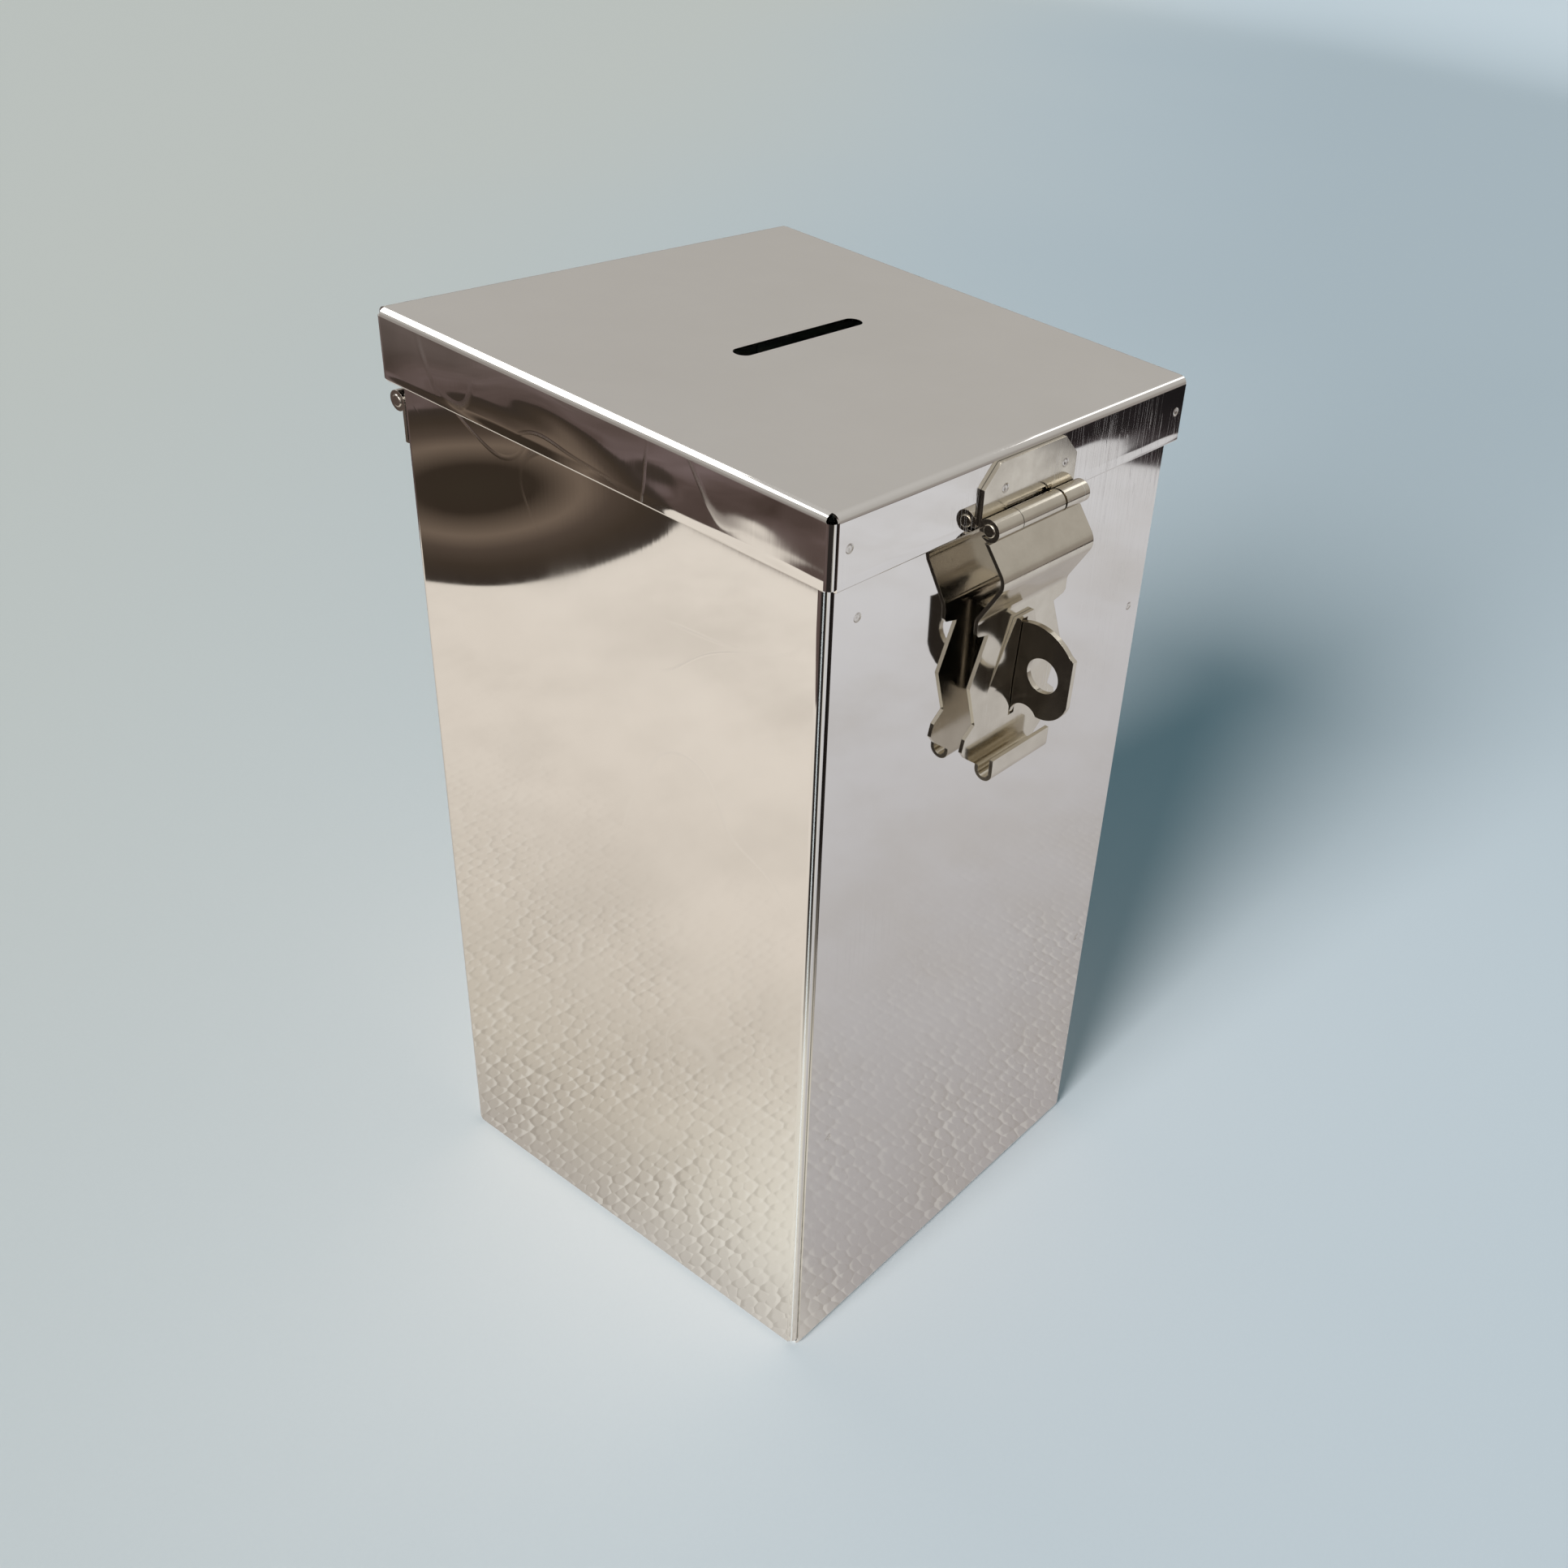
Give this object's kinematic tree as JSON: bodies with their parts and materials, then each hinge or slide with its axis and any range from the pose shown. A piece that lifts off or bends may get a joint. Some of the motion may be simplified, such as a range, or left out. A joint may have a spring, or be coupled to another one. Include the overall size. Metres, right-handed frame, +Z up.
{
  "type": "donation box",
  "caption": "Tall square sheet-metal donation box with a coin slot in its hinged tray lid, and a hasp and staple at the front that take a padlock.",
  "frame": {"origin": "on the floor at the centre of the body's base", "axes": "+Z up, the hasp faces -Y, +X to the right of a person facing the hasp"},
  "size_m": [0.127, 0.1546, 0.25],
  "materials": {
    "stainless_sheet": "bright annealed stainless sheet, nearly mirror-like, with fine handling scratches",
    "hinge_steel": "plain bright steel, slightly duller than the sheet",
    "hasp_steel": "bright nickel-plated pressed steel with polishing marks",
    "weld_mark": "dull spot-weld nugget with a pressed electrode ring"
  },
  "bodies": {
    "body": {"body_wrap": "stainless_sheet", "left_side_panel": "stainless_sheet", "right_side_panel": "stainless_sheet", "rear_hinge_body_leaf": "hinge_steel", "rear_hinge_pin": "hinge_steel", "staple_eye": "hasp_steel", "body_front_welds": "weld_mark", "body_back_welds": "weld_mark", "base_welds": "weld_mark", "hinge_body_welds": "weld_mark", "staple_welds": "weld_mark"},
    "lid": {"lid_tray": "stainless_sheet", "rear_hinge_lid_leaf": "hinge_steel", "hasp_plate": "hasp_steel", "hasp_pin": "hasp_steel", "lid_corner_welds": "weld_mark", "hinge_lid_welds": "weld_mark", "hasp_plate_welds": "weld_mark"},
    "hasp": {"hasp_leaf": "hasp_steel"}
  },
  "joints": [
    {"name": "lid_open", "type": "hinge", "parent": "body", "child": "lid", "pos_m": [0, 0.0668, 0.228], "axis": [-1, 0, 0], "range_deg": [0, 164]},
    {"name": "hasp_swing", "type": "hinge", "parent": "lid", "child": "hasp", "pos_m": [-0.0015, -0.0698, 0.2346], "axis": [-1, 0, 0], "range_deg": [0, 150]}
  ]
}
